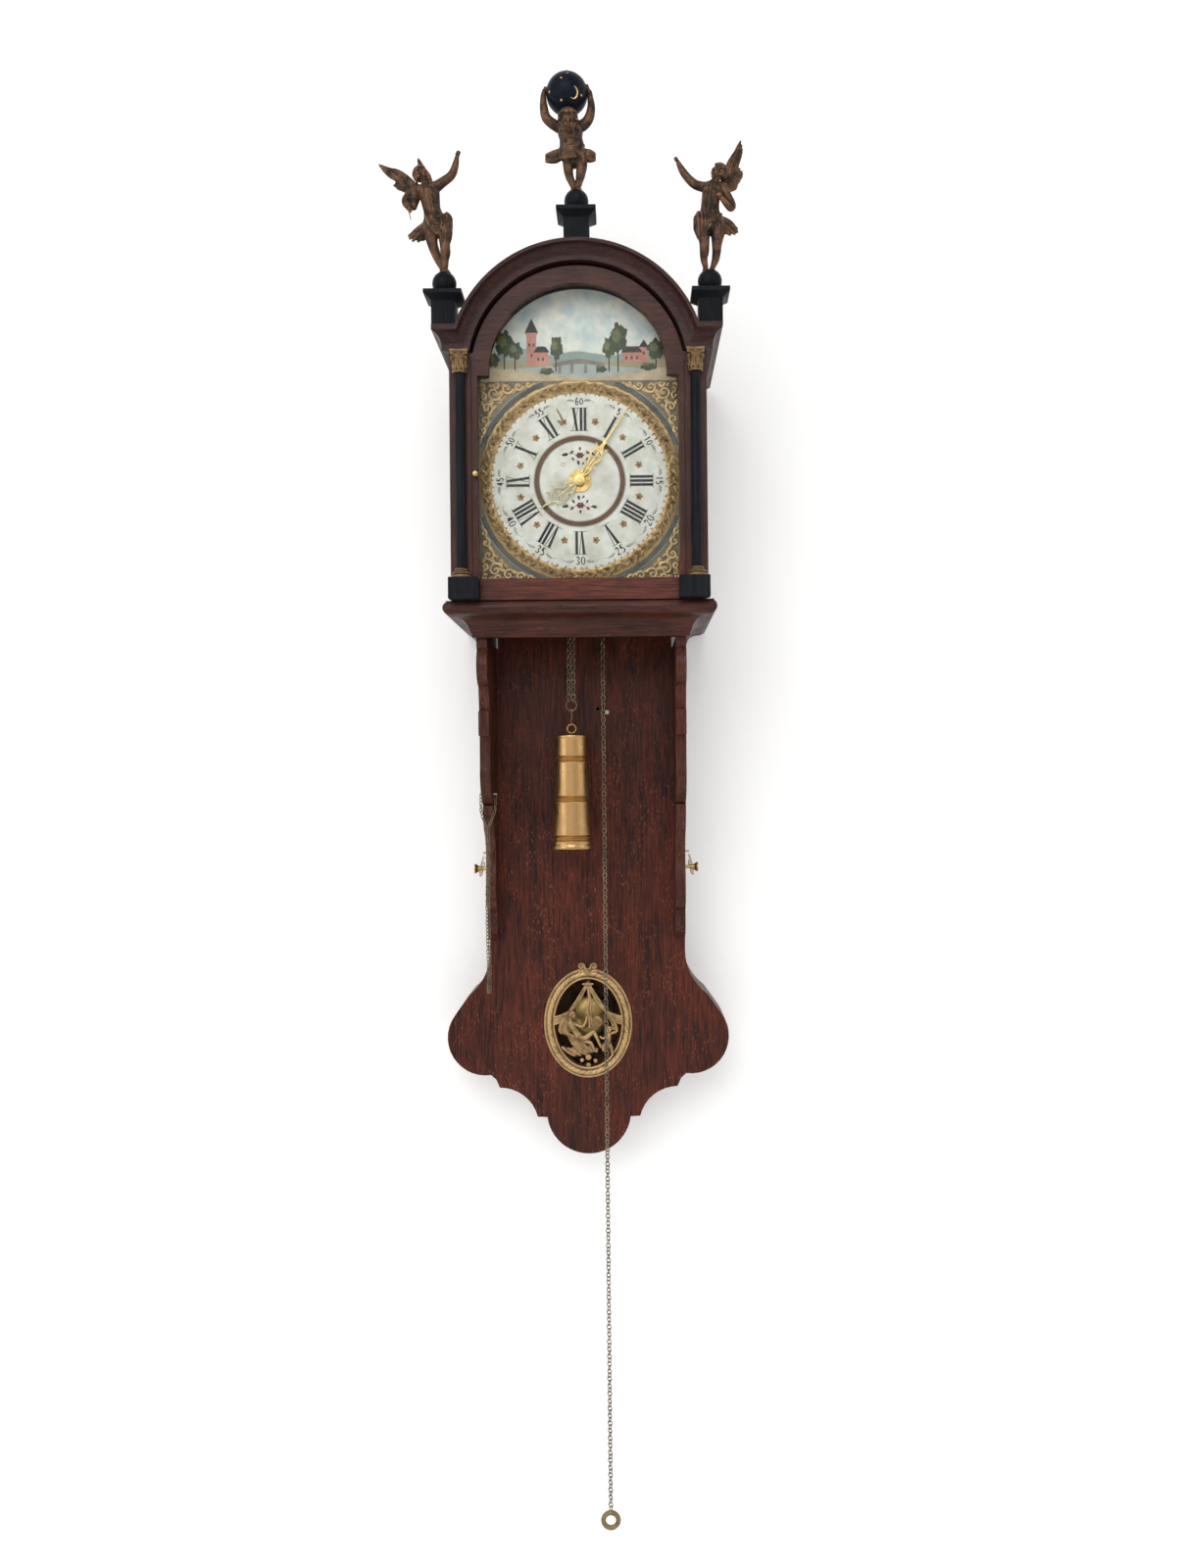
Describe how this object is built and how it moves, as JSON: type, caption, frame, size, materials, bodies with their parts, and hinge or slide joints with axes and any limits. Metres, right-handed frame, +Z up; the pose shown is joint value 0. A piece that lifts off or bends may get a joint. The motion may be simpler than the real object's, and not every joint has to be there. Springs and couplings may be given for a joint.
{
  "type": "frisian tail clock",
  "caption": "Weight-driven wall clock with an arched hood, painted dial and finials, on a trunk with a lobed tail that holds the pendulum.",
  "frame": {"origin": "centre of the hang hole at the back face of the back board, on the wall's plane", "axes": "+X to the viewer's right, +Y into the wall, +Z up; the dial faces -Y"},
  "size_m": [0.4767, 0.278, 1.9501],
  "materials": {
    "oak": "dark reddish brown polished oak",
    "black_wood": "ebonised, satin black",
    "inner_wood": "unpolished oak",
    "bronze_figure": "dark bronzed, worn",
    "gilt": "old gilding over cast brass",
    "brass": "hand-polished, tarnished",
    "bell_metal": "turned bell metal",
    "steel": "filed iron and steel",
    "dark_chain": "dark tarnished brass chain",
    "glass": "old window glass",
    "dial_paint": "painted iron dial",
    "globe_paint": "dark blue painted wood"
  },
  "bodies": {
    "case": {"back_board": "inner_wood", "front_board": "oak", "tail_wing_left": "oak", "tail_wing_right": "oak", "box_sides": "oak", "bracket_left": "oak", "bracket_right": "oak", "shelf_board": "oak", "shelf_moulding": "oak", "oval_ornament": "gilt", "oval_glass": "glass", "seat_bench": "inner_wood", "case_hooks": "steel", "alarm_chain": "dark_chain", "pin_chains": "brass", "dial_plate": "dial_paint", "movement_plates": "brass", "plate_pillars": "brass", "bell": "bell_metal", "bell_stand": "steel", "suspension_cock": "steel"},
    "hood": {"hood_sides": "oak", "hood_roof": "oak", "hood_arch_board": "oak", "hood_cornice": "oak", "pedestals": "black_wood", "finial_balls": "black_wood", "angel_left": "bronze_figure", "angel_right": "bronze_figure", "atlas_figure": "bronze_figure", "globe": "globe_paint", "hinge_pins": "brass"},
    "door": {"door_frame": "oak", "door_glass": "glass", "columns": "black_wood", "gilt_caps": "gilt", "plinth_blocks": "black_wood", "door_knob": "brass"},
    "minute": {"minute_hand": "brass", "centre_arbor": "brass"},
    "hour": {"hour_hand": "brass", "hour_wheel": "brass"},
    "minute_gear": {"minute_wheel": "brass"},
    "alarm_set": {"alarm_disc": "brass"},
    "great": {"great_wheel": "brass"},
    "third": {"third_wheel": "brass"},
    "escape": {"escape_wheel": "brass"},
    "anchor": {"anchor_and_crutch": "steel"},
    "pendulum": {"pendulum_rod": "steel", "pendulum_bob": "brass"},
    "sprocket": {"chain_sprocket": "brass"},
    "weight": {"drive_weight": "brass", "weight_hook": "brass", "weight_chain": "dark_chain"},
    "pull": {"return_chain": "dark_chain", "pull_ring": "dark_chain"},
    "alarm_train": {"alarm_arbor": "brass"},
    "alarm_strike": {"alarm_hammer": "steel"},
    "pin_left": {"retaining_pin_left": "brass"},
    "pin_right": {"retaining_pin_right": "brass"}
  },
  "joints": [
    {"name": "hood_slide", "type": "slide", "parent": "case", "child": "hood", "axis": [0, -1, 0], "range_m": [0, 0.26]},
    {"name": "door_hinge", "type": "hinge", "parent": "hood", "child": "door", "pos_m": [0.162, -0.254, -0.12], "axis": [0, 0, 1], "range_deg": [0, 95]},
    {"name": "minute_turn", "type": "hinge", "parent": "case", "child": "minute", "pos_m": [0, -0.2, -0.12], "axis": [0, 1, 0], "continuous": true},
    {"name": "hour_turn", "type": "hinge", "parent": "case", "child": "hour", "pos_m": [0, -0.2, -0.12], "axis": [0, 1, 0], "continuous": true},
    {"name": "minute_gear_turn", "type": "hinge", "parent": "case", "child": "minute_gear", "pos_m": [-0.017, -0.18, -0.137], "axis": [0, 1, 0], "continuous": true},
    {"name": "alarm_set_turn", "type": "hinge", "parent": "case", "child": "alarm_set", "pos_m": [0, -0.2, -0.12], "axis": [0, 1, 0], "continuous": true},
    {"name": "great_turn", "type": "hinge", "parent": "case", "child": "great", "pos_m": [0.005, -0.14, -0.16975], "axis": [0, 1, 0], "continuous": true},
    {"name": "third_turn", "type": "hinge", "parent": "case", "child": "third", "pos_m": [-0.03, -0.12, -0.0868], "axis": [0, 1, 0], "continuous": true},
    {"name": "escape_turn", "type": "hinge", "parent": "case", "child": "escape", "pos_m": [0, -0.12, -0.066], "axis": [0, 1, 0], "continuous": true},
    {"name": "pendulum_swing", "type": "hinge", "parent": "case", "child": "pendulum", "pos_m": [0, -0.042, -0.038], "axis": [0, 1, 0], "range_deg": [-3.5, 3.5]},
    {"name": "anchor_rock", "type": "hinge", "parent": "case", "child": "anchor", "pos_m": [0, -0.11, -0.038], "axis": [0, 1, 0], "range_deg": [-3.6, 3.6]},
    {"name": "weight_slide", "type": "slide", "parent": "case", "child": "weight", "axis": [0, 0, -1], "range_m": [-0.04, 0.25], "deforming": ["weight_chain"]},
    {"name": "pull_slide", "type": "slide", "parent": "case", "child": "pull", "axis": [0, 0, 1], "range_m": [-0.041, 0.251], "deforming": ["return_chain"]},
    {"name": "sprocket_turn", "type": "hinge", "parent": "case", "child": "sprocket", "pos_m": [0.005, -0.15, -0.16975], "axis": [0, 1, 0], "range_deg": [-660.57, 107.37]},
    {"name": "alarm_turn", "type": "hinge", "parent": "case", "child": "alarm_train", "pos_m": [-0.062, -0.14, -0.11], "axis": [0, 1, 0], "continuous": true},
    {"name": "alarm_hammer_swing", "type": "hinge", "parent": "case", "child": "alarm_strike", "pos_m": [0.03, -0.14, -0.032], "axis": [0, 1, 0], "range_deg": [-13, 13]},
    {"name": "pin_left_pull", "type": "slide", "parent": "case", "child": "pin_left", "axis": [-1, 0, 0], "range_m": [0, 0.025]},
    {"name": "pin_right_pull", "type": "slide", "parent": "case", "child": "pin_right", "axis": [1, 0, 0], "range_m": [0, 0.025]}
  ],
  "couplings": [
    {"joint": "hour_turn", "follows": "minute_turn", "ratio": 0.083333},
    {"joint": "alarm_set_turn", "follows": "minute_turn", "ratio": 0.083333},
    {"joint": "minute_gear_turn", "follows": "minute_turn", "ratio": -0.33333},
    {"joint": "great_turn", "follows": "minute_turn", "ratio": -0.11111},
    {"joint": "third_turn", "follows": "minute_turn", "ratio": -8},
    {"joint": "escape_turn", "follows": "minute_turn", "ratio": 60},
    {"joint": "anchor_rock", "follows": "pendulum_swing", "ratio": 1},
    {"joint": "pull_slide", "follows": "weight_slide", "ratio": 1},
    {"joint": "sprocket_turn", "follows": "weight_slide", "rad_per_m": -45.977}
  ]
}
